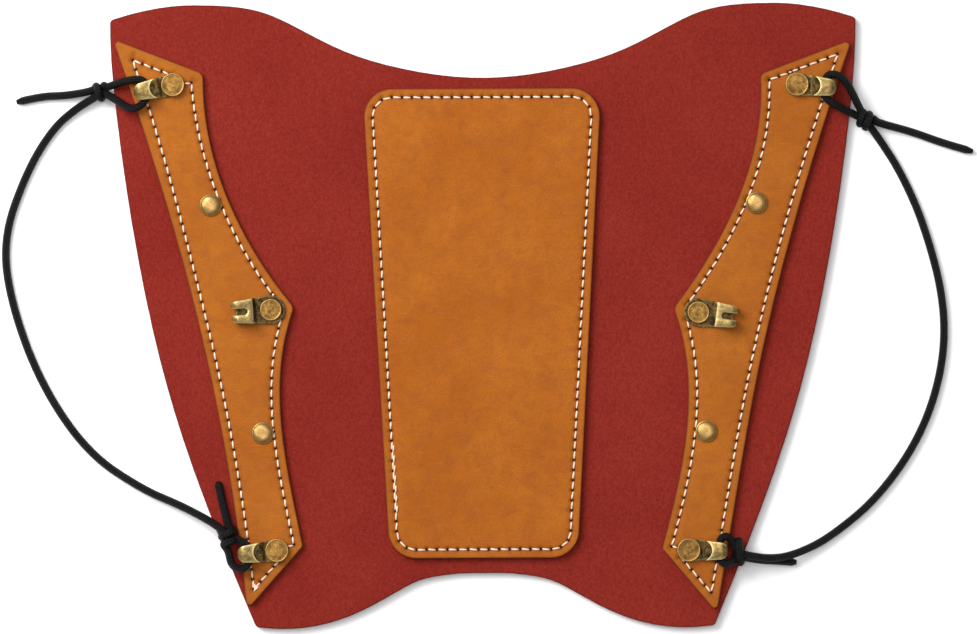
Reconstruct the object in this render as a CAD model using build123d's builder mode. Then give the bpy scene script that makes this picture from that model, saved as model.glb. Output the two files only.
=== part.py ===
from build123d import *
import math
import os

# Archery arm guard lying flat on its inner face, in millimetres.
# X runs across the forearm, +Y towards the elbow and +Z away from the arm.
# The origin is on the inner face, at the middle of the leather body.

# ---------------------------------------------------------------- driving dimensions

# Leather
BODY_THICKNESS = 3.0
STRIP_THICKNESS = 2.0
PANEL_THICKNESS = 2.2
BODY_HALF_LENGTH = 99.8
ELBOW_HALF_WIDTH = 119.3
WRIST_HALF_WIDTH = 73.3
ELBOW_DIP_Y = 76.2
WRIST_DIP_Y = -82.2
BODY_CORNER_RADIUS = 1.6

# Side strips: hand cut, so the two differ a little; both are given as on the right side
STRIP_TIP_ELBOW = {"left": (118.3, 89.1), "right": (118.0, 87.9)}
STRIP_CORNER_ELBOW = {"left": (89.3, 77.8), "right": (88.6, 76.9)}
STRIP_BLUNT_CORNER = {"left": (60.6, 3.0), "right": (60.6, 2.2)}
STRIP_CORNER_WRIST = {"left": (58.1, -73.4), "right": (56.6, -74.6)}
STRIP_TIP_WRIST = {"left": (76.1, -93.7), "right": (74.0, -95.2)}
STRIP_SEAM_INSET = 2.8
# How far the elbow end of each seam is pulled off its even inset: tip, outer side, corner
SEAM_PULL_TIP = {"left": (-1.6, -2.0), "right": (0.0, 0.0)}
SEAM_PULL_OUTER = {"left": (-1.0, 0.0), "right": (0.0, 0.0)}
SEAM_PULL_CORNER = {"left": (1.2, -1.0), "right": (0.0, 0.0)}

# Centre panel
PANEL_TOP_Y = 72.7
PANEL_BOTTOM_Y = -77.4
PANEL_TOP_HALF_WIDTH = 38.2
PANEL_BOTTOM_HALF_WIDTH = 30.1
PANEL_CENTRE_X = -0.35
PANEL_CORNER_RADIUS = 9.0
PANEL_SEAM_INSET = 2.8

# Stitches
STITCH_PITCH = 3.2
STITCH_LENGTH = 2.4
THREAD_WIDTH = 0.7
THREAD_HEIGHT = 0.35

# Rivets: a post through all the leather, closed by a flat back sunk in the inner face
POST_RADIUS = 1.6
RIVET_BACK_RADIUS = 4.0
RIVET_BACK_THICKNESS = 0.8
HOOK_CAP_THICKNESS = 1.3
HOOK_CAP_BEVEL = 0.35
STUD_RADIUS = 3.55
STUD_RIM = 0.5
STUD_HEIGHT = 1.7
STUD_FLAT_RADIUS = 1.9

# Lace hooks: one strip of brass sheet each, curled up and back over itself
SHEET = 0.9
HOOK_LIFT = 0.45
THROAT_HEIGHT = 3.1
HOOK_REACH = 12.7
LIP_SLOPE = 6.0
PIVOT_CLEARANCE = 0.05
CORNER_CAP_RADIUS = 3.75
CORNER_TIP_RADIUS = 2.7
CORNER_LIP_X = 5.4
CORNER_LIP_ARC_X = 4.0
CORNER_LIP_ARC_RADIUS = 3.4
MIDDLE_RING_RADIUS = 4.6
MIDDLE_CAP_RADIUS = 3.5
MIDDLE_TIP_RADIUS = 1.6
MIDDLE_HALF_WIDTH = 3.45
MIDDLE_LIP_X = 5.6
SLOT_WIDTH = 2.1
SLOT_START_X = 8.4
MIDDLE_RING_STEP_X = 4.7

# Elastic cords and their knots
CORD_DIAMETER = 2.5
CORD_RADIUS = CORD_DIAMETER / 2

# Name, rivet centre, direction that the hook points in degrees, and its pattern
HOOKS = [
    ("elbow_left", -99.1, 74.3, 192.3, "corner"),
    ("middle_left", -68.1, 2.3, 184.0, "middle"),
    ("wrist_left", -66.5, -74.6, 186.2, "corner"),
    ("elbow_right", 100.3, 73.6, -6.2, "corner"),
    ("middle_right", 68.5, 0.9, -7.6, "middle"),
    ("wrist_right", 65.1, -75.0, -1.7, "corner"),
]

# Name and centre of each decorative stud
STUDS = [
    ("elbow_left", -87.25, 35.8),
    ("wrist_left", -70.9, -37.1),
    ("elbow_right", 87.25, 35.8),
    ("wrist_right", 70.9, -37.1),
]

# Routes of the two cords, each from its elbow tail to its wrist tail
CORDS = {
    "left": {
        "tail_elbow": [
            (-149.2, 69.0, 1.3),
            (-141.5, 70.9, 1.3),
            (-133.5, 71.0, 1.9),
            (-124.6, 72.5, 3.3),
        ],
        "loop_elbow": [
            (-120.6, 73.4, 4.4),
            (-115.8, 75.2, 5.9),
            (-111.5, 76.0, 7.7),
            (-108.6, 75.9, 7.95),
            (-107.3, 73.8, 7.95),
            (-107.6, 69.4, 7.95),
            (-110.0, 67.0, 7.9),
            (-113.0, 66.6, 7.5),
            (-117.0, 69.4, 5.8),
            (-120.6, 71.6, 4.4),
        ],
        "span": [
            (-124.0, 70.4, 3.3),
            (-130.0, 67.0, 1.8),
            (-137.6, 60.6, 1.3),
            (-146.0, 47.0, 1.3),
            (-153.8, 25.5, 1.3),
            (-151.4, 5.0, 1.3),
            (-142.0, -21.0, 1.3),
            (-127.0, -43.3, 1.3),
            (-109.5, -55.0, 1.4),
            (-98.5, -59.6, 2.8),
            (-90.5, -63.6, 5.4),
            (-84.4, -67.4, 6.3),
        ],
        "loop_wrist": [
            (-79.9, -70.6, 6.9),
            (-76.9, -71.9, 7.8),
            (-75.3, -73.8, 7.95),
            (-74.9, -76.6, 7.95),
            (-75.7, -79.2, 7.95),
            (-78.1, -80.8, 7.8),
            (-81.1, -79.2, 7.2),
            (-81.9, -74.6, 6.6),
        ],
        "tail_wrist": [
            (-81.9, -67.4, 6.1),
            (-83.2, -61.8, 4.7),
            (-84.3, -57.2, 4.3),
            (-85.2, -52.5, 4.3),
        ],
    },
    "right": {
        "tail_elbow": [
            (156.6, 51.9, 1.3),
            (147.6, 54.4, 1.3),
            (137.0, 58.4, 1.4),
            (125.4, 61.4, 3.2),
        ],
        "loop_elbow": [
            (121.0, 64.4, 4.5),
            (118.3, 70.0, 5.9),
            (115.8, 75.0, 7.5),
            (112.2, 76.9, 7.95),
            (109.6, 76.2, 7.95),
            (109.0, 73.2, 7.95),
            (108.6, 70.6, 7.95),
            (110.0, 68.4, 7.95),
            (113.8, 66.2, 7.0),
            (119.2, 63.6, 4.5),
        ],
        "span": [
            (124.0, 59.6, 3.2),
            (127.6, 54.6, 1.9),
            (133.5, 45.3, 1.3),
            (140.6, 29.5, 1.3),
            (147.2, 5.0, 1.3),
            (147.0, -16.0, 1.3),
            (140.0, -38.3, 1.3),
            (126.2, -58.3, 1.3),
            (110.5, -71.2, 1.4),
            (100.5, -76.2, 2.6),
            (92.5, -78.1, 4.7),
            (83.2, -76.8, 7.0),
        ],
        "loop_wrist": [
            (78.9, -71.9, 7.0),
            (77.3, -70.6, 7.6),
            (75.6, -70.9, 7.95),
            (74.7, -73.4, 7.95),
            (74.7, -77.0, 7.95),
            (75.8, -79.3, 7.95),
            (77.5, -79.6, 7.6),
            (79.1, -78.6, 7.0),
        ],
        "tail_wrist": [
            (82.7, -77.4, 4.8),
            (88.2, -78.5, 3.0),
            (93.6, -78.7, 1.5),
            (99.6, -79.2, 1.3),
        ],
    },
}

# Knot name, centre, direction of its long axis in degrees, and its half length and radius
KNOTS = {
    "left": [
        ("elbow", (-122.2, 72.1, 3.7), 5.0, 3.1, 3.2),
        ("wrist", (-81.9, -70.3, 6.4), 100.0, 3.7, 3.2),
    ],
    "right": [
        ("elbow", (122.4, 62.1, 3.7), -32.0, 3.7, 3.1),
        ("wrist", (80.9, -75.6, 6.3), 86.0, 4.9, 2.8),
    ],
}

SIDES = ("left", "right")

# ---------------------------------------------------------------- derived dimensions

STRIP_TOP = BODY_THICKNESS + STRIP_THICKNESS
PANEL_TOP = BODY_THICKNESS + PANEL_THICKNESS
HOOK_BASE_Z = STRIP_TOP + PIVOT_CLEARANCE
CAP_UNDERSIDE_Z = HOOK_BASE_Z + SHEET + PIVOT_CLEARANCE
HOOK_HOLE_RADIUS = POST_RADIUS + PIVOT_CLEARANCE
ARM_TOP = HOOK_LIFT + SHEET
BEND_INNER_RADIUS = THROAT_HEIGHT / 2
BEND_OUTER_RADIUS = BEND_INNER_RADIUS + SHEET
BEND_X = HOOK_REACH - BEND_OUTER_RADIUS
CURL_UNDERSIDE = ARM_TOP + THROAT_HEIGHT
CURL_TOP = CURL_UNDERSIDE + SHEET

os.makedirs("parts", exist_ok=True)


def save(builder, name):
    """Label one finished piece and write it."""
    builder.part.label = name
    export_step(builder.part, f"parts/{name}.step")


def rivet_centres(side_name):
    """Centres of the five rivets on one side."""
    hooks = [(x, y) for name, x, y, angle, pattern in HOOKS if name.endswith(side_name)]
    studs = [(x, y) for name, x, y in STUDS if name.endswith(side_name)]
    return hooks + studs


# ---------------------------------------------------------------- leather outlines


def body_outline():
    """Waisted outline of the body, symmetric about the YZ plane."""
    with BuildSketch(mode=Mode.PRIVATE) as outline:
        with BuildLine():
            half_dip = Spline(
                (0, ELBOW_DIP_Y),
                (25.6, 79.2),
                (46.0, 85.6),
                (62.0, 93.8),
                (93.0, BODY_HALF_LENGTH),
                tangents=[(1, 0), (1, 0)],
            )
            ear = Spline(
                half_dip @ 1,
                (107.0, 98.3),
                (ELBOW_HALF_WIDTH - 0.1, 95.0),
                tangents=[(1, 0), (1, -0.35)],
            )
            side = Spline(
                ear @ 1,
                (117.4, 66.0),
                (110.4, 17.9),
                (99.2, -30.1),
                (85.8, -68.5),
                (WRIST_HALF_WIDTH, -99.2),
                tangents=[(0.01, -1), (-0.42, -1)],
            )
            foot = Spline(
                side @ 1,
                (66.5, -BODY_HALF_LENGTH),
                (51.2, -98.3),
                (35.2, -92.0),
                (26.5, -87.1),
                (20.0, -84.2),
                (11.0, -82.6),
                (0, WRIST_DIP_Y),
                tangents=[(-1, -0.1), (-1, 0)],
            )
            mirror(about=Plane.YZ)
        make_face()
        corners = outline.vertices().filter_by(
            lambda v: abs(v.X) > WRIST_HALF_WIDTH - 0.5 and (v.Y < -99 or abs(v.X) > 118)
        )
        fillet(corners, BODY_CORNER_RADIUS)
    return outline.sketch


def strip_outline(side_name, inset=0.0):
    """Outline of a strip with its corners rounded off, or of the sharp seam inside it."""
    tip_elbow = Vector(*STRIP_TIP_ELBOW[side_name])
    outer_elbow = Vector(107.1, 55.0)
    corner_elbow = Vector(*STRIP_CORNER_ELBOW[side_name])
    blunt_corner = STRIP_BLUNT_CORNER[side_name]
    tip_wrist = STRIP_TIP_WRIST[side_name]
    corner_wrist = STRIP_CORNER_WRIST[side_name]
    if inset:
        tip_elbow += Vector(*SEAM_PULL_TIP[side_name])
        outer_elbow += Vector(*SEAM_PULL_OUTER[side_name])
        corner_elbow += Vector(*SEAM_PULL_CORNER[side_name])
    with BuildSketch(mode=Mode.PRIVATE) as outline:
        with BuildLine():
            outer = Spline(
                tip_elbow,
                outer_elbow,
                (95.4, 14.7),
                (87.3, -19.8),
                (81.0, -54.4),
                tip_wrist,
            )
            Line(outer @ 1, corner_wrist)
            Spline(corner_wrist, (63.8, -43.0), (65.2, -23.0), blunt_corner)
            Spline(blunt_corner, (76.2, 26.2), (85.6, 49.3), corner_elbow)
            Line(corner_elbow, outer @ 0)
        make_face()
        if inset:
            offset(amount=-inset, kind=Kind.INTERSECTION)
        else:
            for corner, radius in (
                (tip_elbow, 1.2),
                (corner_elbow, 2.5),
                (blunt_corner, 3.0),
                (corner_wrist, 1.5),
                (tip_wrist, 1.2),
            ):
                fillet(outline.vertices().sort_by_distance(Vector(corner))[0], radius)
    if side_name == "right":
        return outline.sketch
    return mirror(outline.sketch, about=Plane.YZ)


def panel_outline(inset=0.0):
    """Outline of the centre panel, or of the seam that runs inside it."""
    with BuildSketch(mode=Mode.PRIVATE) as outline:
        with BuildLine():
            Polyline(
                (PANEL_CENTRE_X + PANEL_TOP_HALF_WIDTH, PANEL_TOP_Y),
                (PANEL_CENTRE_X + PANEL_BOTTOM_HALF_WIDTH, PANEL_BOTTOM_Y),
                (PANEL_CENTRE_X - PANEL_BOTTOM_HALF_WIDTH, PANEL_BOTTOM_Y),
                (PANEL_CENTRE_X - PANEL_TOP_HALF_WIDTH, PANEL_TOP_Y),
                close=True,
            )
        make_face()
        fillet(outline.vertices(), PANEL_CORNER_RADIUS)
        if inset:
            offset(amount=-inset)
    return outline.sketch


# ---------------------------------------------------------------- leather pieces

with BuildPart() as base_leather:
    with BuildSketch():
        add(body_outline())
    extrude(amount=BODY_THICKNESS)
    for x, y in rivet_centres("left") + rivet_centres("right"):
        with Locations(Plane(origin=(x, y, 0), z_dir=(0, 0, -1))):
            CounterBoreHole(POST_RADIUS, RIVET_BACK_RADIUS, RIVET_BACK_THICKNESS)
save(base_leather, "base_leather")

with BuildPart() as centre_panel:
    with BuildSketch(Plane.XY.offset(BODY_THICKNESS)):
        add(panel_outline())
    extrude(amount=PANEL_THICKNESS)
save(centre_panel, "centre_panel")


for side_name in SIDES:
    with BuildPart() as side_strip:
        with BuildSketch(Plane.XY.offset(BODY_THICKNESS)):
            add(strip_outline(side_name))
        extrude(amount=STRIP_THICKNESS)
        with Locations(*[(x, y, STRIP_TOP) for x, y in rivet_centres(side_name)]):
            Hole(POST_RADIUS)
    save(side_strip, f"side_strip_{side_name}")

# ---------------------------------------------------------------- stitching


def stitches_along(edges, z, rivets):
    """One short bar of thread for each stitch, spaced evenly along each edge."""
    places = []
    for edge in edges:
        count = max(1, round(edge.length / STITCH_PITCH))
        for index in range(count):
            spot = (index + 0.5) / count * edge.length
            point = edge.position_at(spot, position_mode=PositionMode.LENGTH)
            along = edge.tangent_at(spot, position_mode=PositionMode.LENGTH)
            hidden = [
                rivet for rivet in rivets
                if math.hypot(point.X - rivet[0], point.Y - rivet[1]) < rivet[2]
            ]
            if not hidden:
                angle = math.degrees(math.atan2(along.Y, along.X))
                places.append(Location((point.X, point.Y, z), (0, 0, angle)))
    with BuildPart() as stitching:
        with Locations(*places):
            Box(
                STITCH_LENGTH, THREAD_WIDTH, THREAD_HEIGHT,
                align=(Align.CENTER, Align.CENTER, Align.MIN),
            )
    return stitching


def covered_by_rivets(side_name):
    """Centre of each rivet on one side, with how far its metal covers the seam."""
    margin = STITCH_LENGTH / 2 + 0.1
    covers = {"corner": CORNER_CAP_RADIUS + margin, "middle": MIDDLE_RING_RADIUS + margin}
    hooks = [
        (x, y, covers[pattern])
        for name, x, y, angle, pattern in HOOKS
        if name.endswith(side_name)
    ]
    studs = [(x, y, STUD_RADIUS + margin) for name, x, y in STUDS if name.endswith(side_name)]
    return hooks + studs


for side_name in SIDES:
    seam = strip_outline(side_name, STRIP_SEAM_INSET)
    stitching = stitches_along(seam.edges(), STRIP_TOP, covered_by_rivets(side_name))
    save(stitching, f"stitching_{side_name}")

panel_stitching = stitches_along(panel_outline(PANEL_SEAM_INSET).edges(), PANEL_TOP, [])
save(panel_stitching, "stitching_centre")

# ---------------------------------------------------------------- lace hooks


def hook_profile(lip_x, ring_end_x, back_x):
    """Side view of a hook: flat ring, a small step up, then a curl back to the lip."""
    drop = (BEND_X - lip_x) * math.tan(math.radians(LIP_SLOPE))
    step_end_x = ring_end_x + SHEET
    with BuildLine() as outline:
        underside = Polyline(
            (back_x, 0), (ring_end_x, 0), (step_end_x, HOOK_LIFT), (BEND_X, HOOK_LIFT)
        )
        outer_bend = ThreePointArc(
            underside @ 1,
            (HOOK_REACH, HOOK_LIFT + BEND_OUTER_RADIUS),
            (BEND_X, CURL_TOP),
        )
        lip = Polyline(
            outer_bend @ 1,
            (lip_x, CURL_TOP - drop),
            (lip_x, CURL_UNDERSIDE - drop),
            (BEND_X, CURL_UNDERSIDE),
        )
        inner_bend = ThreePointArc(
            lip @ 1,
            (BEND_X + BEND_INNER_RADIUS, ARM_TOP + BEND_INNER_RADIUS),
            (BEND_X, ARM_TOP),
        )
        Polyline(
            inner_bend @ 1,
            (step_end_x, ARM_TOP),
            (ring_end_x, SHEET),
            (back_x, SHEET),
            (back_x, 0),
        )
    return outline


def corner_hook():
    """Hook as wide as its rivet cap, tapering to a round tip, with a scooped lip."""
    with BuildPart() as hook:
        with BuildSketch(Plane.XZ):
            add(hook_profile(CORNER_LIP_X, CORNER_CAP_RADIUS + 0.1, -CORNER_CAP_RADIUS).line)
            make_face()
        extrude(amount=CORNER_CAP_RADIUS, both=True)
        with BuildSketch():
            Circle(CORNER_CAP_RADIUS - 0.1)
            with Locations((HOOK_REACH - CORNER_TIP_RADIUS, 0)):
                Circle(CORNER_TIP_RADIUS)
            make_hull()
        extrude(amount=CURL_TOP + 1, mode=Mode.INTERSECT)
        with BuildSketch(Plane.XY.offset(ARM_TOP + 1)):
            with Locations((CORNER_LIP_ARC_X, 0)):
                Circle(CORNER_LIP_ARC_RADIUS)
        extrude(amount=CURL_TOP, mode=Mode.SUBTRACT)
        with Locations((0, 0, SHEET)):
            Hole(HOOK_HOLE_RADIUS)
    return hook


def middle_hook():
    """Hook with a ring round its cap and two prongs either side of a slot."""
    with BuildPart() as hook:
        with BuildSketch(Plane.XZ):
            add(hook_profile(MIDDLE_LIP_X, MIDDLE_RING_STEP_X, -MIDDLE_RING_RADIUS).line)
            make_face()
        extrude(amount=MIDDLE_RING_RADIUS, both=True)
        with BuildSketch():
            Circle(MIDDLE_RING_RADIUS)
            tip_y = MIDDLE_HALF_WIDTH - MIDDLE_TIP_RADIUS
            with Locations(
                (HOOK_REACH - MIDDLE_TIP_RADIUS, tip_y),
                (HOOK_REACH - MIDDLE_TIP_RADIUS, -tip_y),
            ):
                Circle(MIDDLE_TIP_RADIUS)
            make_hull()
        extrude(amount=CURL_TOP + 1, mode=Mode.INTERSECT)
        slot_end_x = HOOK_REACH + 1
        with BuildSketch(Plane.XY.offset(ARM_TOP + BEND_INNER_RADIUS / 2)):
            with Locations(((SLOT_START_X + slot_end_x) / 2, 0)):
                SlotOverall(slot_end_x - SLOT_START_X + SLOT_WIDTH, SLOT_WIDTH)
        extrude(amount=CURL_TOP, mode=Mode.SUBTRACT)
        with Locations((0, 0, SHEET)):
            Hole(HOOK_HOLE_RADIUS)
    return hook


def hook_rivet(cap_radius):
    """Flat round cap with a bevelled rim, on its post."""
    with BuildPart() as rivet:
        with BuildSketch(Plane.XY.offset(CAP_UNDERSIDE_Z)):
            Circle(cap_radius)
        extrude(amount=HOOK_CAP_THICKNESS)
        chamfer(rivet.edges().group_by(Axis.Z)[-1], HOOK_CAP_BEVEL)
        with BuildSketch(Plane.XY.offset(RIVET_BACK_THICKNESS)):
            Circle(POST_RADIUS)
        extrude(amount=CAP_UNDERSIDE_Z - RIVET_BACK_THICKNESS)
    return rivet


def rivet_back():
    """Flat closing disc, flush with the inner face of the leather."""
    with BuildPart() as back:
        with BuildSketch():
            Circle(RIVET_BACK_RADIUS)
        extrude(amount=RIVET_BACK_THICKNESS)
        chamfer(back.edges().group_by(Axis.Z)[0], HOOK_CAP_BEVEL / 2)
    return back


def stud():
    """Low domed stud with a flat crown, on its post."""
    with BuildPart() as dome:
        with BuildSketch(Plane.XZ):
            with BuildLine():
                Polyline((0, 0), (STUD_RADIUS, 0), (STUD_RADIUS, STUD_RIM))
                ThreePointArc(
                    (STUD_RADIUS, STUD_RIM),
                    (STUD_RADIUS - 0.55, STUD_HEIGHT - 0.45),
                    (STUD_FLAT_RADIUS, STUD_HEIGHT),
                )
                Polyline((STUD_FLAT_RADIUS, STUD_HEIGHT), (0, STUD_HEIGHT), (0, 0))
            make_face()
        revolve(axis=Axis.Z)
        with BuildSketch(Plane.XY.offset(RIVET_BACK_THICKNESS - STRIP_TOP)):
            Circle(POST_RADIUS)
        extrude(amount=STRIP_TOP - RIVET_BACK_THICKNESS)
    return dome


def placed(source, x, y, z, angle, name):
    """A copy of a piece made at the origin, turned and moved into place, then written."""
    with BuildPart() as piece:
        add(source.part.located(Location((x, y, z), (0, 0, angle))))
    save(piece, name)


HOOK_SHAPES = {"corner": corner_hook(), "middle": middle_hook()}
RIVET_SHAPES = {"corner": hook_rivet(CORNER_CAP_RADIUS), "middle": hook_rivet(MIDDLE_CAP_RADIUS)}
BACK_SHAPE = rivet_back()
STUD_SHAPE = stud()

for name, x, y, angle, pattern in HOOKS:
    placed(HOOK_SHAPES[pattern], x, y, HOOK_BASE_Z, angle, f"hook_{name}")
    placed(RIVET_SHAPES[pattern], x, y, 0, angle, f"hook_rivet_{name}")
    placed(BACK_SHAPE, x, y, 0, 0, f"hook_rivet_back_{name}")

for name, x, y in STUDS:
    placed(STUD_SHAPE, x, y, STRIP_TOP, 0, f"stud_{name}")
    placed(BACK_SHAPE, x, y, 0, 0, f"stud_back_{name}")

# ---------------------------------------------------------------- elastic cords


def corner_radii(points):
    """The largest arc at each corner that both of its runs leave room for."""
    radii = []
    for before, corner, after in zip(points, points[1:], points[2:]):
        run_in = Vector(*corner) - Vector(*before)
        run_out = Vector(*after) - Vector(*corner)
        half_turn = math.radians(run_in.get_angle(run_out) / 2)
        radii.append(0.45 * min(run_in.length, run_out.length) / math.tan(half_turn))
    return radii


def cord_tube(name, points):
    """A stretch of cord: straight runs joined by tangent arcs."""
    radii = corner_radii(points)
    with BuildPart() as tube:
        with BuildLine() as route:
            FilletPolyline(*points, radius=radii)
        path = route.wires()[0]
        with BuildSketch(Plane(origin=path @ 0, z_dir=path % 0)):
            Circle(CORD_RADIUS)
        sweep(path=path)
    expected = math.pi * CORD_RADIUS**2 * path.length
    print(
        f"{name}: length {path.length:.1f}, volume / (section x length) "
        f"{tube.part.volume / expected:.4f}, radii {[round(r, 1) for r in radii]}"
    )
    save(tube, name)
    return path.length


def knot(name, centre, angle, half_length, radius):
    """Outer shape of a knot: a barrel with rounded ends, lying along its angle."""
    with BuildPart() as barrel:
        place = Plane(origin=centre, x_dir=Vector(1, 0, 0).rotate(Axis.Z, angle))
        with BuildSketch(place):
            with BuildLine():
                Spline(
                    (-half_length, 0),
                    (-half_length * 0.72, radius * 0.78),
                    (0, radius),
                    (half_length * 0.72, radius * 0.78),
                    (half_length, 0),
                    tangents=[(0, 1), (0, -1)],
                )
                Line((half_length, 0), (-half_length, 0))
            make_face()
        revolve(axis=Axis(place.origin, place.x_dir))
    save(barrel, name)


for side_name, stretches in CORDS.items():
    lengths = [
        cord_tube(f"cord_{side_name}_{stretch}", points)
        for stretch, points in stretches.items()
    ]
    print(f"cord_{side_name}: {sum(lengths):.0f} outside its knots")
    for end, centre, angle, half_length, radius in KNOTS[side_name]:
        knot(f"cord_{side_name}_knot_{end}", centre, angle, half_length, radius)
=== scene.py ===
# Looks of the archery arm guard: leather, thread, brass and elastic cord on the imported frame.
# Lengths are in millimetres until a mesh is made, which is in metres as the frame is.

import math
import random

import bmesh
import bpy
import numpy as np
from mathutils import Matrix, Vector, geometry, noise


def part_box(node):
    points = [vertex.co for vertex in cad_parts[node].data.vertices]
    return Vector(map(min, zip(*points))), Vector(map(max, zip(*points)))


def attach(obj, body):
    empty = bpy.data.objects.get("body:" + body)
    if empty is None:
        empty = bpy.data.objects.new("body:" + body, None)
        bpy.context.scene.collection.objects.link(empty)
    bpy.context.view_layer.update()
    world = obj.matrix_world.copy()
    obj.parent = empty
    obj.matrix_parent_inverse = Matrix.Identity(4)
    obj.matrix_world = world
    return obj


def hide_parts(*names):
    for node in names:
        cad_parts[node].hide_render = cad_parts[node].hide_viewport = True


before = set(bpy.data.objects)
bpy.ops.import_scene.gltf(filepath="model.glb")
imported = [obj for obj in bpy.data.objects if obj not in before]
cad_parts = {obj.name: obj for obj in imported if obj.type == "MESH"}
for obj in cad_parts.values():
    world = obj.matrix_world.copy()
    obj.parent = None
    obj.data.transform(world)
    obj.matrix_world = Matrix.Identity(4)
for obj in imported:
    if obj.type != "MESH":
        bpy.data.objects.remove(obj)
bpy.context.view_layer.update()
MM = 0.001
chance = random.Random(11)

# ---------------------------------------------------------------- sizes, in millimetres

CORD_DIAMETER = 2.5
CORD_SIDES = 16
THREAD_RADIUS = 0.28
STITCH_PITCH = 3.2
HOLE_RADIUS = 0.52
HOLE_DEPTH = 0.75
HOLE_MERGE = 1.0
HOLE_SIDES = 24
OPEN_END_GAP = 1.2
DETAIL_CLEARANCE = 0.75
BAR_CORNERS = 8
BODY_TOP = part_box("base_leather")[1].z / MM
STRIP_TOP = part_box("side_strip_left")[1].z / MM
PANEL_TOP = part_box("centre_panel")[1].z / MM
HOOK_NAMES = ("elbow_left", "middle_left", "wrist_left", "elbow_right", "middle_right", "wrist_right")
MIDDLE_RING_RADIUS = 4.6
CORNER_CAP_RADIUS = 3.75
STUD_RADIUS = 3.55
STUD_NAMES = ("elbow_left", "wrist_left", "elbow_right", "wrist_right")

# Brass hooks: one strip of sheet each, as in the frame
SHEET = 0.9
HOOK_LIFT = 0.45
THROAT_HEIGHT = 3.1
HOOK_REACH = 12.7
LIP_SLOPE = 6.0
HOOK_GRID = 0.38
POST_RADIUS = 1.6
BACK_RADIUS = 4.0
BACK_THICKNESS = 0.8

# ---------------------------------------------------------------- camera

PHOTO_WIDTH = 312.6
CAMERA_CENTRE = (1.44, -0.33)
CAMERA_LENS = 400.0
CAMERA_SENSOR = 36.0
CAMERA_ROLL = -0.25


def make_camera():
    """Long lens, looking straight down."""
    data = bpy.data.cameras.new("camera")
    data.lens = CAMERA_LENS
    data.sensor_width = CAMERA_SENSOR
    data.clip_start = 0.05
    data.clip_end = 50.0
    camera = bpy.data.objects.new("camera", data)
    bpy.context.scene.collection.objects.link(camera)
    height = PHOTO_WIDTH * CAMERA_LENS / CAMERA_SENSOR
    camera.location = (CAMERA_CENTRE[0] * MM, CAMERA_CENTRE[1] * MM, height * MM)
    camera.rotation_euler = (0.0, 0.0, math.radians(CAMERA_ROLL))
    bpy.context.scene.camera = camera


# ---------------------------------------------------------------- material helpers


class Shader:
    """A small builder for one procedural material."""

    def __init__(self, name):
        self.material = bpy.data.materials.new(name)
        self.material.use_nodes = True
        self.tree = self.material.node_tree
        self.surface = self.tree.nodes["Principled BSDF"]
        self.place = self.tree.nodes.new("ShaderNodeTexCoord").outputs["Object"]

    def link(self, source, target):
        self.tree.links.new(source, target)

    def socket(self, node, key, value):
        """Sets one input, by a link or by a plain value."""
        if isinstance(value, bpy.types.NodeSocket):
            self.link(value, node.inputs[key])
        elif value is not None:
            node.inputs[key].default_value = value

    def stretched(self, factors):
        """The place on the object with each axis scaled."""
        node = self.tree.nodes.new("ShaderNodeMapping")
        node.inputs["Scale"].default_value = factors
        self.link(self.place, node.inputs["Vector"])
        return node.outputs["Vector"]

    def noise(self, size, detail=4.0, rough=0.55, vector=None, distortion=0.0):
        """Noise whose features are about size millimetres across."""
        node = self.tree.nodes.new("ShaderNodeTexNoise")
        node.inputs["Scale"].default_value = 1.0 / (size * MM)
        node.inputs["Detail"].default_value = detail
        node.inputs["Roughness"].default_value = rough
        node.inputs["Distortion"].default_value = distortion
        self.link(vector or self.place, node.inputs["Vector"])
        return node.outputs["Fac"]

    def cells(self, size):
        """Voronoi cells about size millimetres across."""
        node = self.tree.nodes.new("ShaderNodeTexVoronoi")
        node.inputs["Scale"].default_value = 1.0 / (size * MM)
        self.link(self.place, node.inputs["Vector"])
        return node.outputs["Distance"]

    def attribute(self, name):
        node = self.tree.nodes.new("ShaderNodeAttribute")
        node.attribute_name = name
        return node.outputs["Fac"]

    def math(self, operation, first, second=None):
        node = self.tree.nodes.new("ShaderNodeMath")
        node.operation = operation
        self.socket(node, 0, first)
        self.socket(node, 1, second)
        return node.outputs["Value"]

    def remap(self, value, low, high, to_low=0.0, to_high=1.0):
        node = self.tree.nodes.new("ShaderNodeMapRange")
        node.inputs["From Min"].default_value = low
        node.inputs["From Max"].default_value = high
        node.inputs["To Min"].default_value = to_low
        node.inputs["To Max"].default_value = to_high
        self.link(value, node.inputs["Value"])
        return node.outputs["Result"]

    def mix(self, amount, first, second):
        """Blend of two colours by amount."""
        node = self.tree.nodes.new("ShaderNodeMix")
        node.data_type = "RGBA"
        self.socket(node, 0, amount)
        self.socket(node, 6, first)
        self.socket(node, 7, second)
        return node.outputs[2]

    def bump(self, height, depth, strength):
        """Bump of depth millimetres."""
        node = self.tree.nodes.new("ShaderNodeBump")
        node.inputs["Strength"].default_value = strength
        node.inputs["Distance"].default_value = depth * MM
        self.link(height, node.inputs["Height"])
        return node.outputs["Normal"]

    def finish(self, colour=None, roughness=None, normal=None, **constants):
        """Sends the varying inputs to the shader and sets its constant ones."""
        self.socket(self.surface, "Base Color", colour)
        self.socket(self.surface, "Roughness", roughness)
        self.socket(self.surface, "Normal", normal)
        for key, value in constants.items():
            self.surface.inputs[key.replace("_", " ")].default_value = value
        return self.material


def srgb(red, green, blue):
    """A colour given as on a screen, 0 to 255, as linear RGBA."""
    def linear(value):
        value = value / 255
        return value / 12.92 if value <= 0.04045 else ((value + 0.055) / 1.055) ** 2.4
    return (linear(red), linear(green), linear(blue), 1.0)


# ---------------------------------------------------------------- materials


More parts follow.
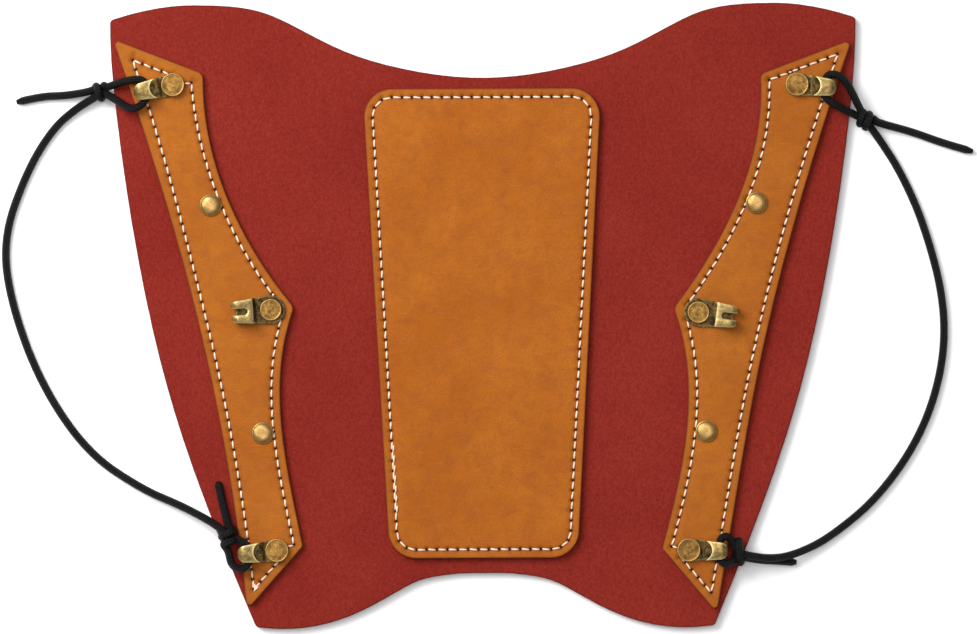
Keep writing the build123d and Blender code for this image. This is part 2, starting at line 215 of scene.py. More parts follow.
def red_suede():
    """Short even nap, with faint clouds where it has been brushed."""
    s = Shader("red_suede")
    clouds = s.noise(38.0, 3.0)
    nap = s.noise(0.9, 5.0, 0.7, s.stretched((1.0, 0.7, 1.0)))
    fibres = s.noise(0.28, 2.0, 0.6)
    colour = s.mix(s.remap(clouds, 0.35, 0.65), srgb(121, 29, 20), srgb(130, 36, 26))
    colour = s.mix(s.remap(nap, 0.38, 0.7, 0.0, 0.65), colour, srgb(92, 18, 13))
    colour = s.mix(s.remap(fibres, 0.5, 0.75, 0.0, 0.5), colour, srgb(160, 60, 48))
    colour = s.mix(s.math("MULTIPLY", s.attribute("edge"), 0.75), colour, srgb(70, 16, 13))
    height = s.math("ADD", nap, s.math("MULTIPLY", fibres, 0.6))
    return s.finish(
        colour,
        s.remap(nap, 0.3, 0.7, 0.86, 1.0),
        s.bump(height, 0.16, 0.7),
        Sheen_Weight=0.08,
        Sheen_Roughness=0.6,
        Sheen_Tint=srgb(214, 110, 92),
        Specular_IOR_Level=0.15,
    )


def tan_leather(name, tone):
    """Oiled nubuck: soft mottling, fine pores, faint scratches and darker cut edges, with painted shade in
    the needle holes.
    """
    s = Shader(name)
    clouds = s.noise(24.0, 4.0, 0.6)
    mottle = s.noise(4.5, 5.0, 0.62, distortion=0.6)
    grain = s.noise(0.55, 4.0, 0.65)
    pores = s.cells(0.75)
    scratches = s.noise(1.3, 3.0, 0.6, s.stretched((0.22, 2.2, 1.0)))
    light, middle, dark = tone
    colour = s.mix(s.remap(clouds, 0.36, 0.66), middle, light)
    colour = s.mix(s.remap(mottle, 0.42, 0.72, 0.0, 0.55), colour, dark)
    colour = s.mix(s.remap(scratches, 0.6, 0.78, 0.0, 0.35), colour, srgb(190, 118, 42))
    colour = s.mix(s.remap(grain, 0.48, 0.72, 0.0, 0.55), colour, srgb(130, 66, 18))
    colour = s.mix(s.math("MULTIPLY", s.attribute("seam"), 0.35), colour, srgb(124, 60, 18))
    colour = s.mix(s.attribute("edge"), colour, srgb(104, 54, 20))
    # painted shade: the needle holes are coloured near black
    colour = s.mix(s.attribute("hole"), colour, srgb(6, 3, 2))
    height = s.math("ADD", grain, s.math("MULTIPLY", s.remap(pores, 0.0, 0.35), 0.5))
    height = s.math("ADD", height, s.math("MULTIPLY", mottle, 0.5))
    return s.finish(
        colour,
        s.remap(mottle, 0.3, 0.7, 0.78, 0.58),
        s.bump(height, 0.14, 0.7),
        Specular_IOR_Level=0.14,
    )


def cream_thread():
    """Waxed polyester thread, twisted from three plies, with painted shade in the valleys between the
    plies.
    """
    s = Shader("cream_thread")
    soil = s.noise(1.8, 3.0)
    fuzz = s.noise(0.12, 2.0)
    colour = s.mix(s.remap(soil, 0.4, 0.7), srgb(250, 232, 212), srgb(226, 196, 168))
    # painted shade in the valleys between the plies
    colour = s.mix(s.math("MULTIPLY", s.attribute("valley"), 0.6), colour, srgb(196, 150, 105))
    return s.finish(
        colour,
        s.remap(fuzz, 0.3, 0.7, 0.45, 0.7),
        s.bump(fuzz, 0.03, 0.5),
        Sheen_Weight=0.2,
        Specular_IOR_Level=0.4,
    )


def antique_brass(name, base, worn, patina, patina_share):
    """Tumbled brass: brown patina, darkest in the hollows where shade is painted with it, rubbed bright on
    the edges with a painted highlight.
    """
    s = Shader(name)
    blotch = s.noise(2.2, 5.0, 0.65, distortion=0.8)
    speck = s.noise(0.45, 4.0, 0.7)
    brushed = s.noise(0.5, 3.0, 0.6, s.stretched((0.25, 2.5, 1.0)))
    colour = s.mix(s.remap(blotch, 0.42, 0.62, 0.0, patina_share), base, patina)
    colour = s.mix(s.remap(speck, 0.52, 0.68, 0.0, 0.7), colour, patina)
    # patina and painted shade: near black in the hollows and on the undersides
    colour = s.mix(s.attribute("hollow"), colour, srgb(14, 9, 5))
    # rubbed wear with a painted highlight
    colour = s.mix(s.math("MULTIPLY", s.attribute("wear"), 0.85), colour, worn)
    height = s.math("ADD", brushed, speck)
    return s.finish(
        colour,
        s.remap(blotch, 0.3, 0.7, 0.36, 0.55),
        s.bump(height, 0.05, 0.7),
        Metallic=0.85,
    )


def black_elastic():
    """Braided sleeve over rubber: crossed strands about the cord, with painted shade between the strands.
    """
    s = Shader("black_elastic")
    uv = s.tree.nodes.new("ShaderNodeUVMap")
    uv.uv_map = "sleeve"
    split = s.tree.nodes.new("ShaderNodeSeparateXYZ")
    s.link(uv.outputs["UV"], split.inputs["Vector"])
    turn = s.math("MULTIPLY", split.outputs["Y"], 8 * 2 * math.pi)
    run = s.math("MULTIPLY", split.outputs["X"], 5.2)
    right = s.math("SINE", s.math("ADD", turn, run))
    left = s.math("SINE", s.math("SUBTRACT", turn, run))
    braid_and_shade = s.math("MULTIPLY", right, left)
    fuzz = s.noise(0.15, 3.0, 0.7)
    worn = s.noise(6.0, 3.0)
    # painted light and shade: darker between the strands, lighter on their crowns, as the braid's bump
    # rises
    colour = s.mix(s.remap(braid_and_shade, -0.8, 0.9), srgb(1, 1, 2), srgb(8, 9, 10))
    colour = s.mix(s.remap(worn, 0.5, 0.75, 0.0, 0.5), colour, srgb(15, 16, 17))
    height = s.math("ADD", braid_and_shade, s.math("MULTIPLY", fuzz, 0.6))
    return s.finish(
        colour,
        s.remap(fuzz, 0.3, 0.7, 0.4, 0.6),
        s.bump(height, 0.14, 0.8),
        Sheen_Weight=0.0,
        Specular_IOR_Level=0.16,
    )


# ---------------------------------------------------------------- mesh helpers


def make_object(name, points, faces, material, slot, body="root", replaced=(), **layers):
    """A piece from points in millimetres, riding on a body and standing for CAD nodes."""
    mesh = bpy.data.meshes.new(name)
    mesh.from_pydata([(x * MM, y * MM, z * MM) for x, y, z in points], [], faces)
    mesh.validate()
    for layer, values in layers.items():
        attribute = mesh.attributes.new(layer, "FLOAT", "POINT")
        attribute.data.foreach_set("value", np.asarray(values, dtype=np.float32))
    mesh.shade_smooth()
    mesh.materials.append(material)
    piece = bpy.data.objects.new(name, mesh)
    bpy.context.scene.collection.objects.link(piece)
    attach(piece, body)
    if replaced:
        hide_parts(*replaced)
    return piece


def segment_distance(points, starts, ends):
    """Distance from each 2-D point to the nearest of many segments."""
    best = np.full(len(points), 1e9)
    for start, end in zip(starts, ends):
        run = end - start
        share = ((points - start) @ run) / max(float(run @ run), 1e-12)
        near = start + np.clip(share, 0, 1)[:, None] * run
        best = np.minimum(best, np.hypot(*(points - near).T))
    return best


def inside(points, loop):
    """Which 2-D points lie inside a closed loop."""
    result = np.zeros(len(points), bool)
    for (ax, ay), (bx, by) in zip(loop, next_points(loop)):
        crosses = (ay > points[:, 1]) != (by > points[:, 1])
        if ay != by:
            result ^= crosses & (points[:, 0] < (bx - ax) * (points[:, 1] - ay) / (by - ay) + ax)
    return result


def triangulate(loops, scattered, holes=()):
    """Fills the first loop, with scattered points inside it and round holes (x, y, radius) left open."""
    flat = [tuple(p) for loop in loops for p in loop] + [tuple(p) for p in scattered]
    edges = []
    first = 0
    for loop in loops:
        count = len(loop)
        edges += [(first + i, first + (i + 1) % count) for i in range(count)]
        first += count
    found, _, faces, origin, _, _ = geometry.delaunay_2d_cdt(
        [Vector(p) for p in flat], edges, [], 1, 1e-6
    )
    source = []
    for spot, known in zip(found, origin):
        if not known:
            flat.append(tuple(spot))
        source.append(known[0] if known else len(flat) - 1)
    kept = []
    for face in faces:
        middle = sum((found[i] for i in face), Vector((0, 0))) / len(face)
        if all(math.hypot(middle.x - x, middle.y - y) > radius * 0.98 for x, y, radius in holes):
            turn = (found[face[1]] - found[face[0]]).cross(found[face[2]] - found[face[0]])
            corners = [source[i] for i in face]
            kept.append(corners if turn > 0 else corners[::-1])
    return np.array(flat), kept


# ---------------------------------------------------------------- outlines from the frame


def top_loops(node, spacing=1.2):
    """Outline of a CAD sheet's top face and its round holes (x, y, radius), in millimetres."""
    work = bmesh.new()
    work.from_mesh(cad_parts[node].data)
    bmesh.ops.remove_doubles(work, verts=work.verts, dist=1e-6)
    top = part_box(node)[1].z
    flat = {f for f in work.faces if f.normal.z > 0.99 and abs(f.calc_center_median().z - top) < 1e-6}
    rim = {e for e in work.edges if sum(f in flat for f in e.link_faces) == 1}
    loops = []
    while rim:
        # always from the same corner, so that each run makes the same mesh
        edge = min(rim, key=lambda e: sorted(tuple(v.co) for v in e.verts))
        start, spot = sorted(edge.verts, key=lambda v: tuple(v.co))
        loop = [start, spot]
        rim.discard(edge)
        while spot != start:
            edge = next(e for e in spot.link_edges if e in rim)
            rim.discard(edge)
            spot = edge.other_vert(spot)
            loop.append(spot)
        loops.append(np.array([(v.co.x, v.co.y) for v in loop[:-1]]) / MM)
    work.free()
    loops.sort(key=lambda p: -np.ptp(p[:, 1]))
    outline = even(loops[0], spacing)
    if signed_area(outline) < 0:
        outline = outline[::-1]
    holes = [(*p.mean(0), float(np.ptp(p[:, 0]) / 2)) for p in loops[1:]]
    return outline, sorted(holes)


def even(loop, spacing):
    """The loop with long edges divided and very short ones dropped, its corners kept."""
    points = []
    for here, after in zip(loop, next_points(loop)):
        if points and np.hypot(*(here - points[-1])) < 0.2:
            continue
        count = max(1, math.ceil(np.hypot(*(after - here)) / spacing))
        points += [here + (after - here) * i / count for i in range(count)]
    return np.array(points)


def moved_in(loop, depth):
    """Each point of an anticlockwise loop moved inwards along its corner's bisector."""
    before = loop - np.roll(loop, 1, axis=0)
    after = next_points(loop) - loop
    first = np.stack([-before[:, 1], before[:, 0]], 1) / np.hypot(*before.T)[:, None]
    second = np.stack([-after[:, 1], after[:, 0]], 1) / np.hypot(*after.T)[:, None]
    normal = first + second
    normal /= np.maximum(np.sum(normal * first, axis=1), 0.35)[:, None]
    return loop + normal * depth


def next_points(loop):
    """The loop's points, each in the place of the one before it."""
    return np.roll(loop, -1, axis=0)


def signed_area(loop):
    """Area of a loop, positive when it runs anticlockwise."""
    following = next_points(loop)
    return float(np.sum(loop[:, 0] * following[:, 1] - following[:, 0] * loop[:, 1])) / 2


def ring(x, y, radius, count):
    turns = np.arange(count) * 2 * math.pi / count
    return np.stack([x + radius * np.cos(turns), y + radius * np.sin(turns)], 1)


# ---------------------------------------------------------------- stitches from the frame


def islands(work):
    """Groups of joined vertices, in the mesh's own order."""
    seen = set()
    groups = []
    for first in work.verts:
        if first in seen:
            continue
        seen.add(first)
        group = [first]
        for vert in group:
            for edge in vert.link_edges:
                other = edge.other_vert(vert)
                if other not in seen:
                    seen.add(other)
                    group.append(other)
        groups.append([v.co / MM for v in group])
    return groups


def lengthwise(group, middle):
    """Angle of a bar's long side, from how its corners are spread."""
    total = 0j
    for corner in group:
        spread = complex(corner.x - middle.x, corner.y - middle.y)
        total += spread * spread
    return math.atan2(total.imag, total.real) / 2


def by_place(point):
    return (round(float(point[1]), 3), round(float(point[0]), 3))


def stitch_places(node):
    """The two needle holes of each stitch of a CAD seam, in millimetres."""
    work = bmesh.new()
    work.from_mesh(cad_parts[node].data)
    bmesh.ops.remove_doubles(work, verts=work.verts, dist=1e-6)
    stitches = []
    corners = []
    for group in islands(work):
        middle = sum(group, Vector()) / len(group)
        centre = np.array((middle.x, middle.y))
        if len(group) > BAR_CORNERS:
            corners.append(centre)
            continue
        angle = lengthwise(group, middle)
        along = np.array((math.cos(angle), math.sin(angle))) * STITCH_PITCH / 2
        stitches.append([centre - along, centre + along])
    work.free()
    stitches.sort(key=lambda pair: by_place(pair[0]))
    corners.sort(key=by_place)
    for corner in corners:
        stitches += corner_stitches(stitches, corner)
    stitches += stitches_under_metal(stitches)
    spots = np.array([end for pair in stitches for end in pair])
    shared = spots.copy()
    for index, spot in enumerate(spots):
        near = np.hypot(*(spots - spot).T) < HOLE_MERGE
        shared[index] = spots[near].mean(0)
    return [(shared[2 * i], shared[2 * i + 1]) for i in range(len(stitches))]


def corner_stitches(stitches, corner):
    """The last stitch of each of the two rows that meet at a sharp corner, where the CAD bars merge."""
    made = []
    by_distance = sorted(stitches, key=lambda pair: np.hypot(*((pair[0] + pair[1]) / 2 - corner)))
    for pair in by_distance:
        near, far = sorted(pair, key=lambda end: np.hypot(*(end - corner)))
        step = near - far
        if not made or abs(cross(step, made[0][1] - made[0][0])) > 2.0:
            made.append([near, near + step])
        if len(made) == 2:
            break
    meeting = (made[0][1] + made[1][1]) / 2
    return [[start, meeting] for start, _ in made]


def cross(first, second):
    return float(first[0] * second[1] - first[1] * second[0])


def metal_discs():
    """Centre and radius of every cap, ring and stud that covers a seam."""
    discs = []
    for name in HOOK_NAMES:
        radius = MIDDLE_RING_RADIUS if name.startswith("middle") else CORNER_CAP_RADIUS
        discs.append((np.array(node_centre("hook_rivet_" + name)), radius))
    for name in STUD_NAMES:
        discs.append((np.array(node_centre("stud_" + name)), STUD_RADIUS))
    return discs


def stitches_under_metal(stitches):
    """The stitches that run on from a row's open ends until they pass under metal."""
    ends = np.array([end for pair in stitches for end in pair])
    made = []
    for pair in stitches:
        for here, other in ((pair[0], pair[1]), (pair[1], pair[0])):
            if np.sum(np.hypot(*(ends - here).T) < OPEN_END_GAP) > 1:
                continue
            way = (here - other) / np.hypot(*(here - other))
            before = len(made)
            for centre, radius in metal_discs():
                offset = here - centre
                along = float(offset @ way)
                inner = (radius - 0.4) ** 2 - float(offset @ offset) + along * along
                if along > 0 or np.hypot(*offset) > radius + 2.5 * STITCH_PITCH:
                    continue
                if float(offset @ offset) - along * along > (radius + 1.4) ** 2:
                    continue
                reach = -along - math.sqrt(max(inner, 0.0))
                spot = here
                while reach > STITCH_PITCH * 1.15:
                    made.append([spot, spot + way * STITCH_PITCH])
                    spot = spot + way * STITCH_PITCH
                    reach -= STITCH_PITCH
                if reach > 0.7:
                    made.append([spot, spot + way * reach])
            if len(made) == before:
                made += turn_to_metal(here, way)
    return made


def turn_to_metal(here, way):
    """One stitch from a row's last corner to the cap beside it."""
    for centre, radius in metal_discs():
        gap = centre - here
        distance = float(np.hypot(*gap))
        if radius + 0.6 < distance < radius + 1.3 * STITCH_PITCH and float(gap @ way) < 0.75 * distance:
            return [[here, here + gap / distance * (distance - radius + 0.4)]]
    return []


# ---------------------------------------------------------------- leather


class SheetMesh:
    """The mesh of one leather sheet, and how worn, sewn or pierced each point is; the pierced amount also
    paints shade into the needle holes.
    """

    def __init__(self):
        self.points = []
        self.faces = []
        self.layers = {"edge": [], "seam": [], "hole": []}

    def add(self, places, heights, **amounts):
        """Adds points, and gives the index of the first."""
        first = len(self.points)
        heights = np.broadcast_to(heights, len(places))
        self.points += [(x, y, z) for (x, y), z in zip(places, heights)]
        for layer, values in self.layers.items():
            values += list(np.broadcast_to(amounts.get(layer, 0.0), len(places)))
        return first

    def band(self, one, other, count):
        """Faces between two closed rows of points, each given by its first point."""
        for i in range(count):
            j = (i + 1) % count
            self.faces.append((one + i, one + j, other + j, other + i))


def scattered_inside(outline, grid, gap):
    """A loose grid of points inside an outline, clear of its edge."""
    low_x, low_y = outline.min(0)
    high_x, high_y = outline.max(0)
    spots = []
    row = 0
    y = low_y
    while y < high_y:
        x = low_x + (grid / 2 if row % 2 else 0)
        while x < high_x:
            spots.append((x + chance.uniform(-0.2, 0.2) * grid, y + chance.uniform(-0.2, 0.2) * grid))
            x += grid
        y += grid * 0.87
        row += 1
    spots = np.array(spots)
    spots = spots[inside(spots, outline)]
    return spots[segment_distance(spots, outline, next_points(outline)) > gap]


def fill(mesh, first, outline, grid, round_holes, details=(), relief=None):
    """Triangles over the top or the underside, from one row of the edge inwards."""
    count = len(outline)
    loop = np.array([point[:2] for point in mesh.points[first:first + count]])
    spots = scattered_inside(outline, grid, 0.8 + grid * 0.45)
    for x, y, radius in round_holes:
        spots = spots[np.hypot(spots[:, 0] - x, spots[:, 1] - y) > radius + 0.6]
    if len(details):
        keep = np.ones(len(spots), bool)
        for x, y in details:
            keep &= np.hypot(spots[:, 0] - x, spots[:, 1] - y) > DETAIL_CLEARANCE
        spots = np.concatenate([spots[keep], details])
    rings = [ring(x, y, radius, HOLE_SIDES) for x, y, radius in round_holes]
    flat, found = triangulate([loop] + rings, spots, round_holes)
    drop, seam, pierced_and_shaded = relief(flat) if relief else (0.0, 0.0, 0.0)
    heights = np.broadcast_to(mesh.points[first][2] - drop, len(flat))[count:]
    seam, pierced_and_shaded = (np.broadcast_to(values, len(flat))[count:] for values in (seam, pierced_and_shaded))
    base = mesh.add(flat[count:], heights, seam=seam, hole=pierced_and_shaded)
    index = [first + i if i < count else base + i - count for i in range(len(flat))]
    for face in found:
        corners = [index[i] for i in face]
        mesh.faces.append(corners if first else corners[::-1])
    return [base + HOLE_SIDES * i for i in range(len(round_holes))]


def seam_details(stitches, needles, outline, holes):
    """Extra points where the leather is pierced, and across the groove that the thread pulls in."""
    details = []
    for x, y in needles:
        details.append((x, y))
        details += [tuple(p) for p in ring(x, y, HOLE_RADIUS * 0.6, 6)]
        details += [tuple(p) for p in ring(x, y, HOLE_RADIUS * 1.35, 8)]
    for start, end in stitches:
        run = end - start
        side = np.array((-run[1], run[0])) / max(np.hypot(*run), 1e-6)
        for share in (0.25, 0.5, 0.75):
            spot = start + run * share
            details += [tuple(spot + side * k) for k in (-1.5, -0.9, -0.45, 0.0, 0.45, 0.9, 1.5)]
    details = np.array(details).reshape(-1, 2)
    if not len(details):
        return details
    clear = inside(details, moved_in(outline, 0.8))
    clear &= segment_distance(details, outline, next_points(outline)) > 1.0
    for x, y, radius in holes:
        clear &= np.hypot(details[:, 0] - x, details[:, 1] - y) > radius + 0.3
    return unique_points(details[clear], 0.16)


def cut_edge(mesh, outline, low, high, edge_width):
    """The rounded, slightly rough cut edge; gives the first point of its top row."""
    thick = high - low
    # from the underside to the top: how far in, and how high
    rows = [
        (0.55, low), (0.2, low + 0.05), (0.04, low + 0.22), (0.0, low + 0.3 * thick),
        (0.0, low + 0.6 * thick), (0.03, high - 0.3), (0.12, high - 0.12), (0.3, high - 0.03),
        (0.55, high),
    ]
    count = len(outline)
    rough = [0.06 * abs(noise.noise(Vector((x * 0.35, y * 0.35, low)))) for x, y in outline]
    inwards = moved_in(outline, 1.0) - outline
    first = 0
    for depth, z in rows:
        place = outline + inwards * (depth + np.array(rough))[:, None]
        worn = 1.0 if depth < 0.1 else max(0.0, 1 - depth / edge_width)
        row = mesh.add(place, z, edge=worn)
        if row:
            mesh.band(first, row, count)
        first = row
    return first


def leather_sheet(name, material, slot, low, edge_width, stitches=(), sink=0.0, ripple=0.0):
    """A cut sheet of leather with rounded edges, needle holes and a pulled-in seam."""
    outline, holes = top_loops(name)
    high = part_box(name)[1].z / MM
    is_body = low == 0
    starts = np.array([a for a, b in stitches]).reshape(-1, 2)
    ends = np.array([b for a, b in stitches]).reshape(-1, 2)
    needles = unique_points(np.concatenate([starts, ends]))

    def relief(flat):
        """How far each point of the top lies below its height, its seam amount, and how pierced it is,
        which also paints shade into the needle holes.
        """
        wave = np.array([noise.fractal(Vector((x * 0.02, y * 0.02, low)), 1.0, 2.0, 3) for x, y in flat])
        drop = ripple * (0.5 + 0.5 * np.clip(wave, -1, 1))
        if not len(stitches):
            return drop, 0.0, 0.0
        seam_amount = np.exp(-((segment_distance(flat, starts, ends) / 0.8) ** 2))
        to_hole = np.min(np.hypot(flat[:, None, 0] - needles[None, :, 0],
                                  flat[:, None, 1] - needles[None, :, 1]), axis=1)
        # how pierced each point is: it sinks the needle hole and also sets its painted shade
        pierced_and_shaded = np.clip(1.5 - to_hole / HOLE_RADIUS, 0, 1)
        return drop + sink * seam_amount + HOLE_DEPTH * pierced_and_shaded, seam_amount, pierced_and_shaded

    mesh = SheetMesh()
    top_row = cut_edge(mesh, outline, low, high, edge_width)
    details = seam_details(stitches, needles, outline, holes)
    top_rings = fill(mesh, top_row, outline, 3.0 if is_body else 2.2, holes, details, relief)
    under = [(x, y, BACK_RADIUS if is_body else radius) for x, y, radius in holes]
    low_rings = fill(mesh, 0, outline, 6.0, under)
    for (x, y, radius), top_ring, low_ring in zip(holes, top_rings, low_rings):
        chain = [top_ring]
        if is_body:
            for wide in (radius, BACK_RADIUS):
                chain.append(mesh.add(ring(x, y, wide, HOLE_SIDES), BACK_THICKNESS))
        chain.append(low_ring)
        for upper, lower in zip(chain, chain[1:]):
            mesh.band(upper, lower, HOLE_SIDES)
    piece = make_object(name + "_sheet", mesh.points, mesh.faces, material, slot, replaced=[name],
                        **mesh.layers)
    width, length = np.ptp(outline, axis=0) * MM
    area = abs(signed_area(outline)) * MM * MM
    print(f"{name}: flat {width:.4f} x {length:.4f} m, area {area:.5f} m2, {len(mesh.faces)} faces")


def unique_points(points, gap=0.3):
    """The points with near repeats dropped."""
    kept = {}
    for x, y in points:
        kept.setdefault((round(x / gap), round(y / gap)), (x, y))
    result = []
    for (i, j), spot in kept.items():
        near = [kept.get((i + a, j + b)) for a in (-1, 0, 1) for b in (-1, 0, 1)]
        if all(q is None or q >= spot or math.dist(q, spot) > gap for q in near):
            result.append(spot)
    return np.array(result).reshape(-1, 2)


# ---------------------------------------------------------------- thread


def thread_between(start, end, surface, lift, points, faces, valley, sides=12, steps=9):
    """One stitch: a twisted thread that rises from one needle hole and dips into the next."""
    run = end - start
    length = float(np.hypot(*run))
    along = run / length
    side = np.array((-along[1], along[0]))
    slant = chance.uniform(0.05, 0.16)
    twist = chance.uniform(0, math.pi)
    first = len(points)
    for step in range(steps + 1):
        share = step / steps
        rise = math.sin(math.pi * share) ** 0.45 if 0 < share < 1 else 0.0
        flat = start + run * (0.14 + 0.72 * share) + side * slant * (1 - 2 * share)
        z = surface - 0.6 + (0.6 + lift) * rise
        thick = THREAD_RADIUS * (0.72 + 0.28 * min(1.0, 4 * min(share, 1 - share)))
        slope = math.pi / 2 * (1 if share < 0.5 else -1) * (1 - min(1.0, 5 * min(share, 1 - share)))
        for k in range(sides):
            turn = 2 * math.pi * k / sides
            ply = math.cos(3 * turn + twist + share * length * 2.6)
            radius = thick * (1 + 0.1 * ply)
            across = radius * math.cos(turn)
            up = radius * math.sin(turn)
            place = flat + side * across - along * up * math.sin(slope)
            points.append((place[0], place[1], z + up * math.cos(slope)))
            # this amount sets the painted shade between the plies
            valley.append(max(0.0, -ply))
    for step in range(steps):
        for k in range(sides):
            a = first + step * sides + k
            b = first + step * sides + (k + 1) % sides
            faces.append((a, b, b + sides, a + sides))
    faces.append(tuple(range(first, first + sides))[::-1])
    last = first + steps * sides
    faces.append(tuple(range(last, last + sides)))


def seam(name, surface, material, doubled):
    """All the stitches of one seam, with some sewn over twice where the seam was closed."""
    points, faces, valley = [], [], []
    for start, end in stitch_places(name):
        thread_between(start, end, surface, 0.2, points, faces, valley)
        middle = (start + end) / 2
        if doubled(*middle):
            run = (end - start) / np.hypot(*(end - start))
            shift = run * 0.9 + np.array((-run[1], run[0])) * 0.42
            thread_between(start + shift, end + shift, surface, 0.32, points, faces, valley)
    return make_object(name + "_thread", points, faces, material, "thread", replaced=[name], valley=valley)


# ---------------------------------------------------------------- brass


def lathe(name, profile, centre, body, slot, replaced, material, wear, dent=0.0, segments=48):
    """A turned piece about Z at a centre: profile rows are radius, height and wear, which is painted
    bright as wear and highlight together.
    """
    points, faces, worn = [], [], []
    for radius, z, amount in profile:
        for k in range(segments if radius else 1):
            turn = 2 * math.pi * k / segments
            x, y = radius * math.cos(turn), radius * math.sin(turn)
            bump = dent * noise.noise(Vector((x * 0.9 + centre[0], y * 0.9 + centre[1], 0.3)))
            points.append((centre[0] + x, centre[1] + y, z + bump * (1 - min(1.0, amount))))
            worn.append(amount * wear)
    first = 0
    for (r0, _, _), (r1, _, _) in zip(profile, profile[1:]):
        n0, n1 = (segments if r0 else 1), (segments if r1 else 1)
        for k in range(segments):
            j = (k + 1) % segments
            a, b = first + k % n0, first + j % n0
            c, d = first + n0 + j % n1, first + n0 + k % n1
            corners = [a, b, c, d]
            faces.append([v for i, v in enumerate(corners) if v not in corners[:i]])
        first += n0
    return make_object(name, points, faces, material, slot, body, replaced,
                       wear=worn, hollow=[0.0] * len(points))


def node_centre(node):
    low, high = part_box(node)
    return ((low.x + high.x) / 2 / MM, (low.y + high.y) / 2 / MM)


def hook_direction(name):
    """Angle in which a CAD hook points, from its rivet to its middle."""
    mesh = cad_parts["hook_" + name].data
    total = sum((p.center * p.area for p in mesh.polygons), Vector())
    middle = total / sum(p.area for p in mesh.polygons) / MM
    x, y = node_centre("hook_rivet_" + name)
    return math.atan2(middle.y - y, middle.x - x)


def hook_path(ring_end, lip_x):
    """Middle line of the sheet seen from the side: place, height and direction at each step."""
    base = SHEET / 2
    bend = (HOOK_LIFT + SHEET + THROAT_HEIGHT / 2)
    radius = THROAT_HEIGHT / 2 + base
    bend_x = HOOK_REACH - radius - base
    path = [(x, base) for x in np.arange(-5.0, ring_end, 0.25)]
    for share in np.linspace(0, 1, 8):
        ease = share * share * (3 - 2 * share)
        path.append((ring_end + share * SHEET * 1.3, base + HOOK_LIFT * ease))
    path += [(x, base + HOOK_LIFT) for x in np.arange(ring_end + SHEET * 1.3 + 0.3, bend_x, 0.3)]
    for turn in np.radians(np.arange(0, 181, 7.5)):
        path.append((bend_x + radius * math.sin(turn), bend - radius * math.cos(turn)))
    fall = math.tan(math.radians(LIP_SLOPE))
    path += [(x, bend + radius - (bend_x - x) * fall) for x in np.arange(bend_x - 0.4, lip_x - 0.6, -0.25)]
    path = np.array(path)
    steps = np.hypot(*np.diff(path, axis=0).T)
    return path, np.concatenate([[0], np.cumsum(steps)])


def hull_width(small, big, span, offset):
    """Half width along the hook of the hull of a big circle and a smaller one either side."""
    lean = math.atan2(offset, span)
    reach = math.hypot(span, offset)
    normal = lean + math.acos((big - small) / reach)
    first = (big * math.cos(normal), big * math.sin(normal))
    last = (span + small * math.cos(normal), offset + small * math.sin(normal))

    def width(x):
        if x <= first[0]:
            return math.sqrt(max(big * big - x * x, 0.0))
        if x >= last[0]:
            return offset + math.sqrt(max(small * small - (x - span) ** 2, 0.0))
        share = (x - first[0]) / (last[0] - first[0])
        return first[1] + (last[1] - first[1]) * share
    return width


HOOK_PATTERNS = {
    "corner": {"width": hull_width(2.7, 3.65, 10.0, 0.0), "back": -3.65, "ring": 3.85,
               "lip": 5.4, "scoop": (4.0, 3.4), "slot": None, "crown": 0.42},
    "middle": {"width": hull_width(1.6, 4.6, 11.1, 1.85), "back": -4.6, "ring": 4.7,
               "lip": 5.6, "scoop": None, "slot": (8.4, 1.05), "crown": 0.3},
}


def slot_loop(near, far, half):
    """A long slot with round ends, in the flat pattern of a hook."""
    turns = np.linspace(0, math.pi, 9)
    loop = [(near - half * math.sin(t) + half, half * math.cos(t)) for t in turns]
    loop += [(s, -half) for s in np.arange(near + half + 0.4, far - 0.2, 0.4)]
    loop += [(far + half * math.sin(t), -half * math.cos(t)) for t in turns]
    loop += [(s, half) for s in np.arange(far - 0.4, near + half + 0.2, -0.4)]
    return np.array(loop)


def hook_triangles(outline, holes, run):
    """A hook's flat pattern in small triangles, and how far each point is from a cut edge."""
    spots = []
    for i, s in enumerate(np.arange(run[0], run[-1], HOOK_GRID)):
        spots += [(s, y + (HOOK_GRID / 2 if i % 2 else 0)) for y in np.arange(-5, 5, HOOK_GRID)]
    spots = np.array(spots)
    spots = spots[inside(spots, outline)]
    loops = [outline] + holes
    for loop in loops:
        spots = spots[segment_distance(spots, loop, next_points(loop)) > 0.22]
    for loop in holes:
        spots = spots[~inside(spots, loop)]
    flat, faces = triangulate(loops, spots)
    middles = np.array([flat[f].mean(0) for f in faces])
    solid = ~np.any([inside(middles, loop) for loop in holes], axis=0)
    faces = [f for f, keep in zip(faces, solid) if keep]
    away = np.min([segment_distance(flat, loop, next_points(loop)) for loop in loops], axis=0)
    return flat, faces, away


def shell(faces, count):
    """Faces of the front and the back of a sheet, joined round every cut edge."""
    joined = [list(f) for f in faces] + [[v + count for v in f[::-1]] for f in faces]
    directed = {(f[i], f[(i + 1) % 3]) for f in faces for i in range(3)}
    for a, b in directed:
        if (b, a) not in directed:
            joined.append([b, a, a + count, b + count])
    return joined


